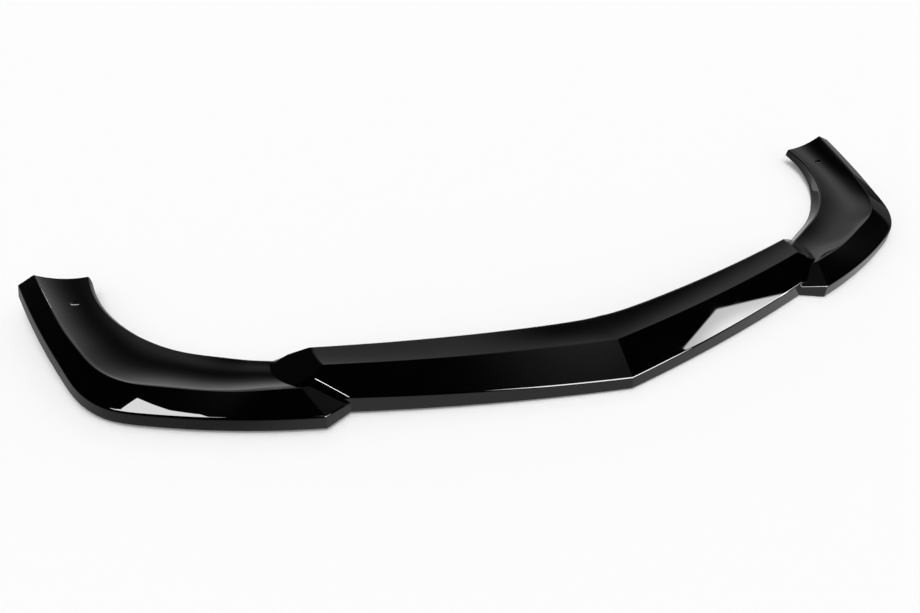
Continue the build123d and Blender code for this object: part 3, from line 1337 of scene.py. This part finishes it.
class ShellTree:
    """Geometry Nodes tree: joins the bodies, hollows and trims them, and mirrors the half."""

    REACH = 4.0
    MERGE = 0.02 * MM
    SHARP = radians(14.0)
    NOSE_SHARP = radians(2.5)
    NOSE_REACH = 0.01 * MM
    HOLE_SIDES = 48
    HOLE_DEPTH = 40 * MM
    BOWL_CUTS = {"Segments": 64, "Rings": 128}

    def __init__(self) -> None:
        """Builds the tree."""
        self.tree = bpy.data.node_groups.new("lip_shell", "GeometryNodeTree")
        self.sheet = NodeSheet(self.tree)
        self.names: dict[str, str] = {}
        for way in ("INPUT", "OUTPUT"):
            self.declare("Geometry", "NodeSocketGeometry", way)
        for name in ("Wing", "Bar hollow", "Wing hollow"):
            self.declare(name, "NodeSocketObject")
        for name in ("Seat", "Facing", "Rim place", "Rim down", "Shift"):
            self.declare(name, "NodeSocketVector")
        for name in ("Hole width", "Sink width", "Sink depth"):
            self.declare(name, "NodeSocketFloat")
        self.declare("Finish", "NodeSocketMaterial")
        self.inputs = self.sheet.node("NodeGroupInput")
        self.draw()

    def declare(self, name: str, kind: str, way: str = "INPUT") -> None:
        """Adds a named input or output to the tree."""
        socket = self.tree.interface.new_socket(name, in_out=way, socket_type=kind)
        self.names[name] = socket.identifier

    def given(self, name: str) -> Term:
        """A named input."""
        return Term(self.sheet, self.inputs.outputs[name])

    def flagged(self, mesh: Term, inside: float) -> Term:
        """Mesh whose faces remember whether they are inside the shell."""
        return self.sheet.term(
            "GeometryNodeStoreNamedAttribute",
            {"data_type": "FLOAT", "domain": "FACE"},
            {"Geometry": mesh, "Name": "inside", "Value": inside},
        )

    def brought(self, name: str) -> Term:
        """Mesh of an object that is a named input."""
        values = {"Object": self.given(name)}
        return self.sheet.term("GeometryNodeObjectInfo", None, values, "Geometry")

    def moved(self, mesh: Term, **change: Link) -> Term:
        """Mesh after a Transform with the named sockets."""
        return self.sheet.term("GeometryNodeTransform", None, {"Geometry": mesh, **change})

    def facing(self, direction: Link) -> Term:
        """Rotation that turns +Z to a direction."""
        settings = {"axis": "Z"}
        return self.sheet.term("FunctionNodeAlignRotationToVector", settings, {"Vector": direction})

    def block(self, place: Link, away: Link) -> Term:
        """Large block that starts at a plane.

        Args:
            place: a point on the plane.
            away: direction from the plane into the block.

        Returns:
            The block's mesh.
        """
        reach = self.REACH
        cube = self.sheet.term("GeometryNodeMeshCube", None, {"Size": (reach,) * 3}, "Mesh")
        raised = self.moved(cube, Translation=(0.0, 0.0, reach / 2))
        return self.moved(raised, Translation=place, Rotation=self.facing(away))

    def drill(self) -> list[Term]:
        """Meshes that cut the screw hole and its dimple."""
        sheet, seat = self.sheet, self.given("Seat")
        radius = self.given("Hole width") * 0.5
        values = {"Vertices": self.HOLE_SIDES, "Radius": radius, "Depth": self.HOLE_DEPTH}
        hole = sheet.term("GeometryNodeMeshCylinder", None, values, "Mesh")
        depth, half = self.given("Sink depth"), self.given("Sink width") * 0.5
        ball = (half * half + depth * depth) / (depth * 2)
        values = {**self.BOWL_CUTS, "Radius": ball}
        sink = sheet.term("GeometryNodeMeshUVSphere", None, values, "Mesh")
        above = sheet.term("ShaderNodeCombineXYZ", None, {"Z": ball - depth})
        sink = self.moved(sink, Translation=above)
        turn = self.facing(self.given("Facing"))
        return [
            self.moved(hole, Translation=seat),
            self.moved(sink, Translation=seat, Rotation=turn),
        ]

    def combined(self, operation: str, meshes: dict[str, Link]) -> Term:
        """Result of a Boolean."""
        settings = {"operation": operation, "solver": "EXACT"}
        return self.sheet.term("GeometryNodeMeshBoolean", settings, meshes, "Mesh")

    def cut(self, mesh: Term, cutters: list[Term]) -> Term:
        """Mesh with cutters taken away."""
        return self.combined("DIFFERENCE", {"Mesh 1": mesh, "Mesh 2": cutters})

    def draw(self) -> None:
        """Lays out the nodes."""
        sheet = self.sheet
        bar = self.flagged(self.given("Geometry"), 0.0)
        wing = self.flagged(self.brought("Wing"), 0.0)
        whole = self.combined("UNION", {"Mesh 2": [bar, wing]})
        hollows = [self.flagged(self.brought(name), 1.0) for name in ("Bar hollow", "Wing hollow")]
        shell = self.cut(self.cut(whole, hollows[:1]), hollows[1:])
        origin = (0.0, 0.0, 0.0)
        ends = [
            self.block(origin, (0.0, 0.0, -1.0)),
            self.block(self.given("Rim place"), self.given("Rim down")),
        ]
        for cutter in [*ends, *self.drill()]:
            shell = self.cut(shell, [cutter])
        half = self.cut(shell, [self.block(origin, (-1.0, 0.0, 0.0))])
        place = sheet.term("GeometryNodeInputPosition")
        across = sheet.term("ShaderNodeSeparateXYZ", None, {0: place}, "X")
        middle = sheet.term(
            "FunctionNodeCompare",
            {"data_type": "FLOAT", "operation": "LESS_THAN"},
            {0: across, 1: self.NOSE_REACH},
        )
        half = sheet.term(
            "GeometryNodeDeleteGeometry",
            {"domain": "FACE"},
            {"Geometry": half, "Selection": middle},
        )
        other = self.moved(half, Scale=(-1.0, 1.0, 1.0))
        other = sheet.term("GeometryNodeFlipFaces", None, {"Mesh": other})
        lip = sheet.term("GeometryNodeJoinGeometry", None, {"Geometry": [half, other]})
        values = {"Geometry": lip, "Distance": self.MERGE}
        lip = sheet.term("GeometryNodeMergeByDistance", None, values)
        lip = sheet.term("GeometryNodeSetShadeSmooth", {"domain": "FACE"}, {"Geometry": lip})
        angle = sheet.term("GeometryNodeInputMeshEdgeAngle", None, None, "Unsigned Angle")
        at_nose = 1 - (across.most(across * -1) > self.NOSE_REACH)
        sharp = (angle > self.SHARP).most((angle > self.NOSE_SHARP) * at_nose)
        lip = sheet.term(
            "GeometryNodeSetShadeSmooth",
            {"domain": "EDGE"},
            {"Geometry": lip, "Selection": sharp, "Shade Smooth": False},
        )
        lip = self.moved(lip, Translation=self.given("Shift"))
        lip = sheet.term("GeometryNodeRealizeInstances", None, {"Geometry": lip})
        values = {"Geometry": lip, "Material": self.given("Finish")}
        lip = sheet.term("GeometryNodeSetMaterial", None, values)
        sheet.node("NodeGroupOutput", None, {"Geometry": lip})

    def applied(
        self, base: bpy.types.Object, values: dict[str, object], name: str
    ) -> bpy.types.Mesh:
        """Runs the tree on an object.

        Args:
            base: object that holds the bar's skin.
            values: the tree's named inputs.
            name: name of the new mesh.

        Returns:
            The finished mesh.
        """
        modifier = base.modifiers.new("lip_shell", "NODES")
        modifier.node_group = self.tree
        for key, value in values.items():
            modifier[self.names[key]] = value
        graph = bpy.context.evaluated_depsgraph_get()
        mesh = bpy.data.meshes.new_from_object(base.evaluated_get(graph), depsgraph=graph)
        mesh.name = name
        while mesh.materials[0] is None:
            mesh.materials.pop(index=0)
        base.modifiers.remove(modifier)
        return mesh


@dataclass
class Lip:
    """The whole moulding."""

    section: Section = field(default_factory=Section)
    finish: GlossBlack = field(default_factory=GlossBlack)
    rim: Rim = field(default_factory=Rim)

    def build(self) -> bpy.types.Object:
        """Makes the lip in place of its CAD node.

        Returns:
            The finished piece.
        """
        bar = CentreBar(self.section)
        wing = Wing(self.section, bar)
        hole = ScrewHole(wing)

        def helper(name: str, body: Body) -> bpy.types.Object:
            """Object that holds a body while the tree runs."""
            return placed(name, body.mesh(name))

        base = helper("bar_body", bar.body(Side.SKIN))
        helpers = {
            "Wing": helper("wing_body", wing.body(Side.SKIN)),
            "Bar hollow": helper("bar_hollow", bar.body(Side.HOLLOW)),
            "Wing hollow": helper("wing_hollow", wing.body(Side.HOLLOW)),
        }
        seat, facing = hole.seat()
        rim_place = wing.wall_path().at(np.array([self.rim.lifts_from]))[0]
        low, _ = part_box(NODE)
        sizes = {
            "Seat": plain(seat),
            "Facing": plain(facing),
            "Rim place": plain((*rim_place, 0.0)),
            "Rim down": self.rim.down(),
            "Shift": (0.0, low[1], 0.0),
            "Hole width": hole.width,
            "Sink width": hole.sink_width,
            "Sink depth": hole.sink_depth,
            "Finish": self.finish.material(),
        }
        mesh = ShellTree().applied(base, {**helpers, **sizes}, "lip")
        for thing in (base, *helpers.values()):
            bpy.data.objects.remove(thing)
        piece = placed("lip", mesh)
        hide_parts(NODE)
        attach(piece, "root")
        log.info("lip: %d faces, %d corners", len(mesh.polygons), len(mesh.vertices))
        return piece


def main() -> None:
    """Builds the lip and its studio."""
    logging.basicConfig(level=logging.INFO)
    bpy.context.scene.view_settings.view_transform = "Standard"
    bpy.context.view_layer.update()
    Lip().build()
    Studio().build()
    Viewpoint().build()


if __name__ == "__main__":
    main()
